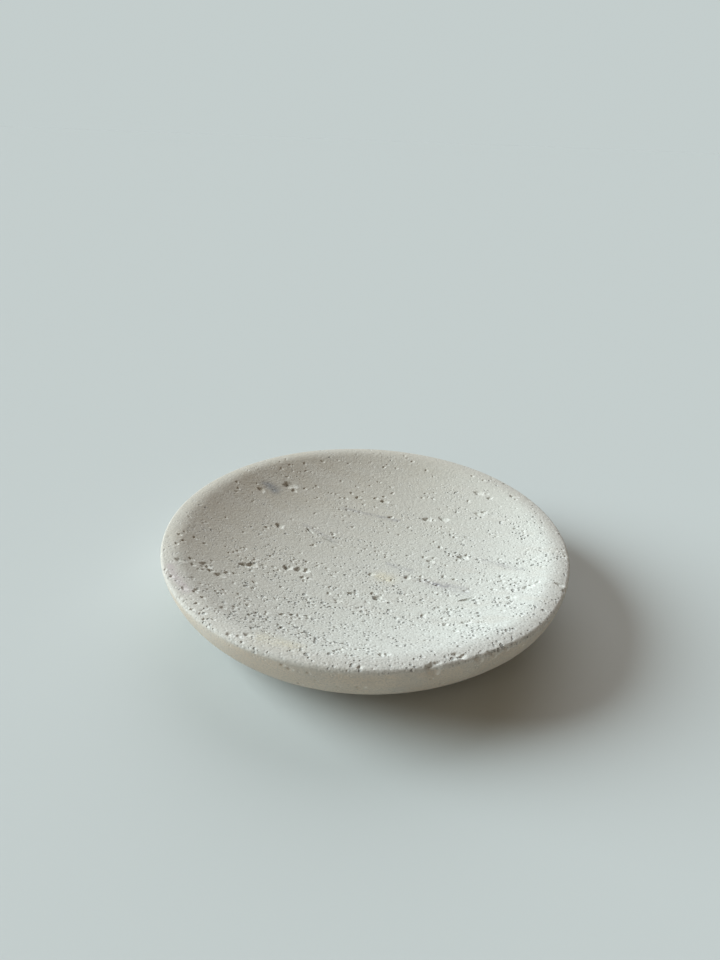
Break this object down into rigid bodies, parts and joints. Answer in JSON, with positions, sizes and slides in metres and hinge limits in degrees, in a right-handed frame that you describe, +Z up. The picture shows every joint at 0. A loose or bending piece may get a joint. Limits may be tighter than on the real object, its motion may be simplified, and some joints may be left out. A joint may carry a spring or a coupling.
{
  "type": "soap dish",
  "caption": "Round shallow soap dish turned from one block of pitted travertine, with a dished basin, a broad rounded lip, an undercut curved side and soft foot pads.",
  "frame": {"origin": "on the surface that the dish stands on, under the centre of the dish", "axes": "+Z up along the turning axis, -Y towards the front of the picture, +X to the picture's right"},
  "size_m": [0.12, 0.12, 0.02],
  "materials": {
    "travertine": "honed, unfilled, with natural holes",
    "clear_silicone": "milky clear, satin",
    "adhesive_film": "clear acrylic film"
  },
  "bodies": {
    "root": {"stone_dish": "travertine", "foot_pad_back_left": "clear_silicone", "foot_pad_back_right": "clear_silicone", "foot_pad_front_left": "clear_silicone", "foot_pad_front_right": "clear_silicone", "pad_adhesive_back_left": "adhesive_film", "pad_adhesive_back_right": "adhesive_film", "pad_adhesive_front_left": "adhesive_film", "pad_adhesive_front_right": "adhesive_film"}
  },
  "joints": []
}
